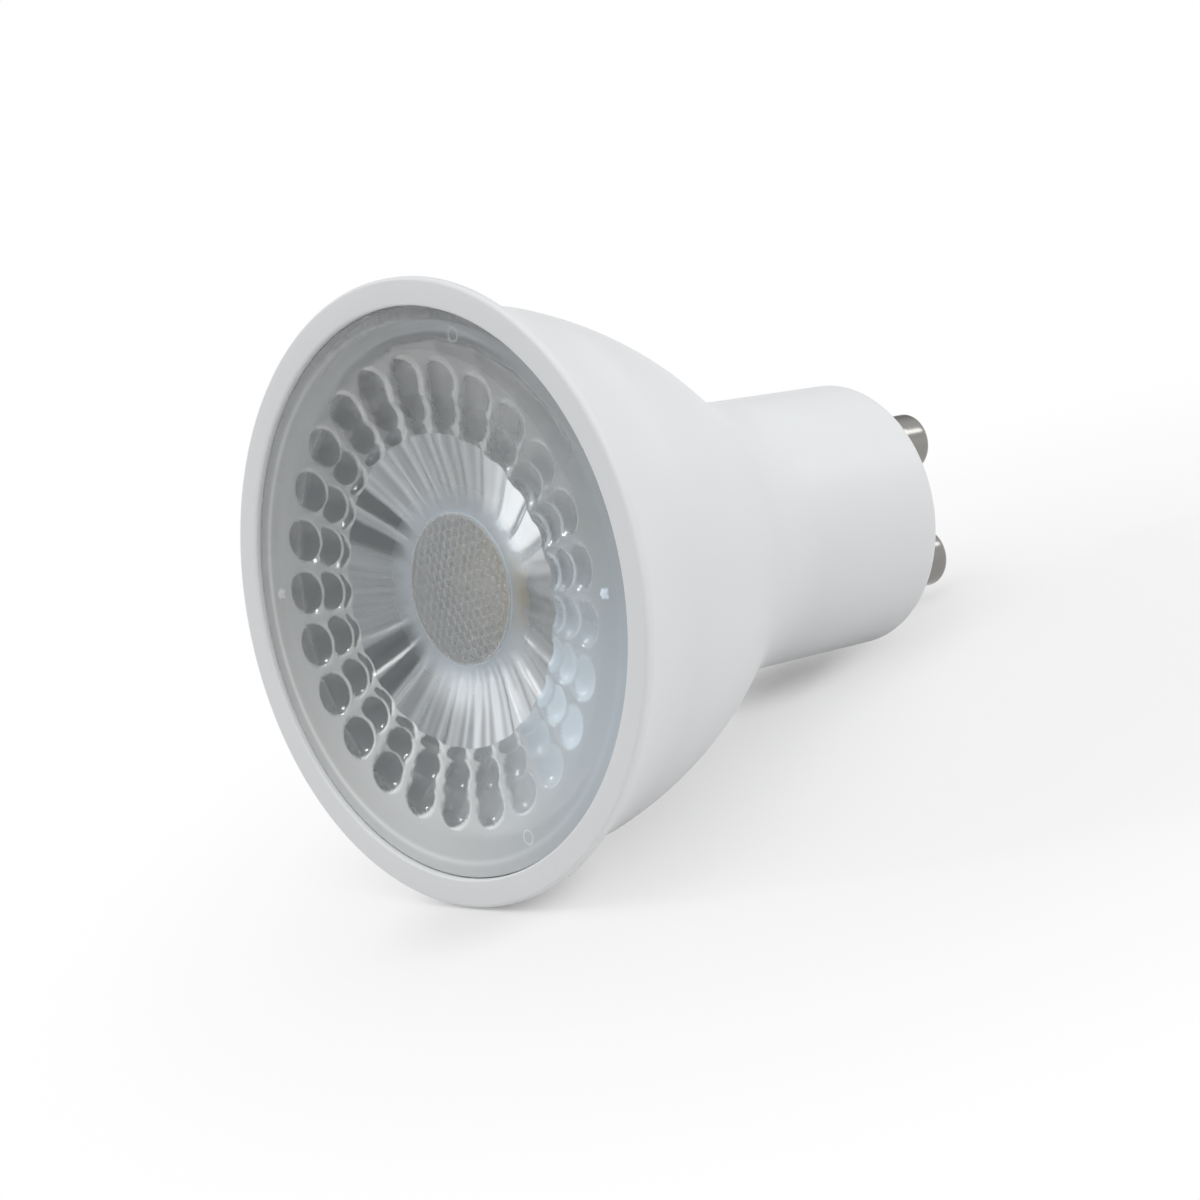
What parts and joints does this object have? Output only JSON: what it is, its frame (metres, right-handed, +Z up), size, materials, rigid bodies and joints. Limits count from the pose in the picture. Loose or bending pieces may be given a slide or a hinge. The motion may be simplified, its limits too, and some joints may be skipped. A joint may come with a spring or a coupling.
{
  "type": "GU10 spotlight bulb",
  "caption": "Reflector-shaped LED spotlight bulb with a white bell housing, a clear petal-pattern lens and a two-pin twist-lock base.",
  "frame": {"origin": "midway between the heads of the two contact pins, which hold the lamp in its holder", "axes": "the lamp lies on its side: +Z up from the table, +Y towards the pins along the table, lens facing -Y and a little up; the lamp's axis lies in the YZ plane and falls about 17 degrees towards the pins"},
  "size_m": [0.05, 0.0619, 0.0478],
  "materials": {
    "white_plastic": "smooth satin white moulding",
    "clear_lens": "clear polished optical plastic",
    "cup_aluminium": "drawn, dull",
    "white_board": "white solder mask",
    "screw_steel": "zinc plated",
    "led_ceramic": "white, matt",
    "white_silicone": "white silicone",
    "phosphor_yellow": "phosphor in silicone",
    "nickel_plate": "satin nickel plating",
    "copper": "copper wire",
    "board_laminate": "green circuit board",
    "capacitor_sleeve": "shrunk sleeve",
    "film_yellow": "moulded case",
    "ferrite": "sintered, dull",
    "black_epoxy": "moulded epoxy",
    "resistor_ceramic": "dull coat",
    "red_insulation": "wire insulation",
    "black_insulation": "wire insulation"
  },
  "bodies": {
    "root": {"housing": "white_plastic", "lens": "clear_lens", "heat_sink_cup": "cup_aluminium", "led_board": "white_board", "led_board_screws": "screw_steel", "led_carrier": "led_ceramic", "led_dam": "white_silicone", "led_phosphor": "phosphor_yellow", "contact_pin_left": "nickel_plate", "contact_pin_right": "nickel_plate", "pin_wire_left": "copper", "pin_wire_right": "copper", "driver_board": "board_laminate", "input_capacitor": "capacitor_sleeve", "output_capacitor": "capacitor_sleeve", "film_capacitor": "film_yellow", "inductor_core": "ferrite", "inductor_winding": "copper", "driver_chip": "black_epoxy", "bridge_rectifier": "black_epoxy", "sense_resistors": "resistor_ceramic", "fusible_resistor": "resistor_ceramic", "led_wire_positive": "red_insulation", "led_wire_negative": "black_insulation"}
  },
  "joints": []
}
